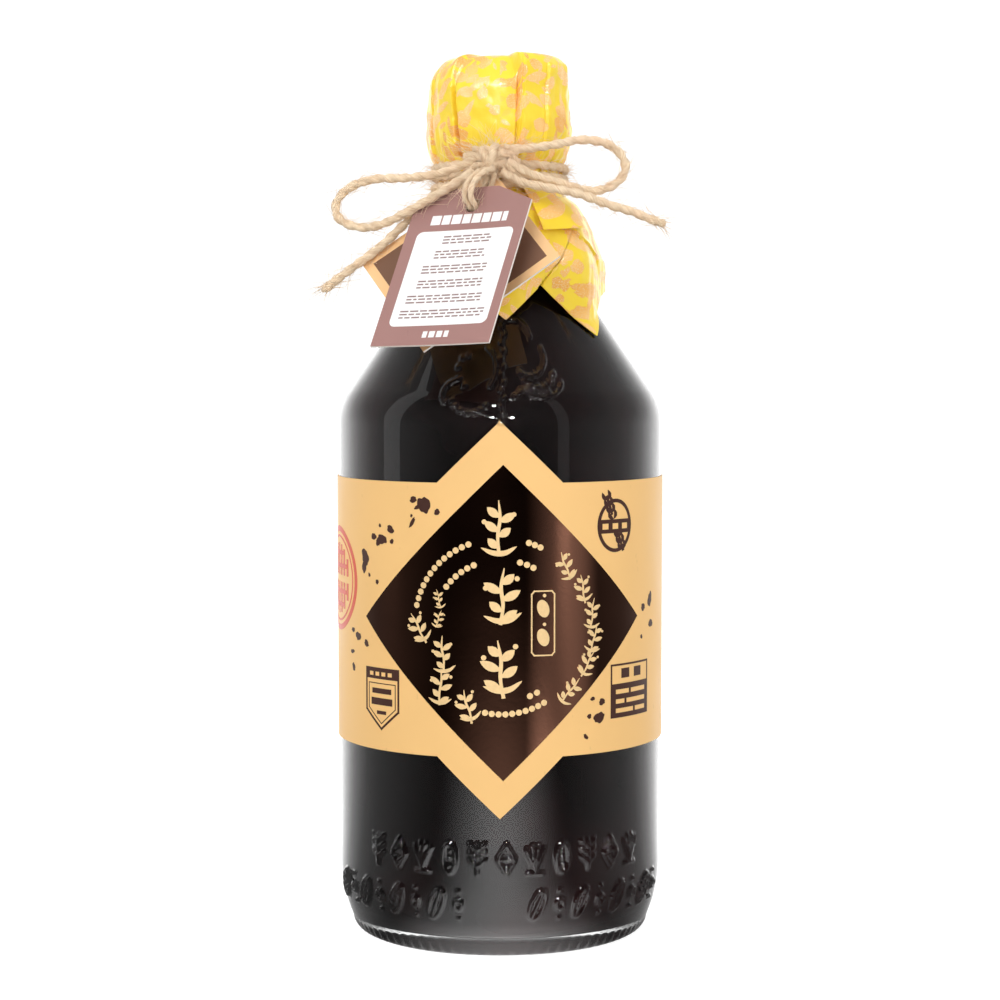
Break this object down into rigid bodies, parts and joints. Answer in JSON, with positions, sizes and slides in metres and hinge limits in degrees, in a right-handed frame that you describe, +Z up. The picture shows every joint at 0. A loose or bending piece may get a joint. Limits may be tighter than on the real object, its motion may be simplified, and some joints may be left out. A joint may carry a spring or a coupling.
{
  "type": "bottle of soy sauce",
  "caption": "Round glass bottle of soy sauce with a diamond-front wrap label, a gathered paper hood over the mouth, a jute bow and hanging cards.",
  "frame": {"origin": "centre of the ring that the bottle stands on, at the surface it stands on", "axes": "+Z up along the bottle's axis; the front of the label faces -Y, +X is to the right seen from the front"},
  "size_m": [0.0789, 0.0914, 0.2045],
  "materials": {
    "glass": "clear polished soda-lime glass",
    "sauce": "near-black liquid, glossy",
    "label_paper": "smooth coated label paper, warm cream with a gloss dark diamond",
    "hood_paper": "glossy thin yellow wrapping paper with a pale gold leaf print",
    "jute": "two-ply natural jute twine, hairy",
    "tag_card": "smooth mauve-brown printed card, pale edge",
    "diamond_card": "smooth printed card, tan border and brown field"
  },
  "bodies": {
    "root": {"bottle": "glass", "sauce": "sauce", "label": "label_paper", "wrap": "hood_paper", "twine_tie": "jute", "twine_knot": "jute", "bow_loop_left": "jute", "bow_loop_right": "jute", "twine_end_left": "jute", "twine_end_right": "jute", "tag_string_left": "jute", "tag_string_right": "jute", "hang_tag": "tag_card", "diamond_tag": "diamond_card"}
  },
  "joints": []
}
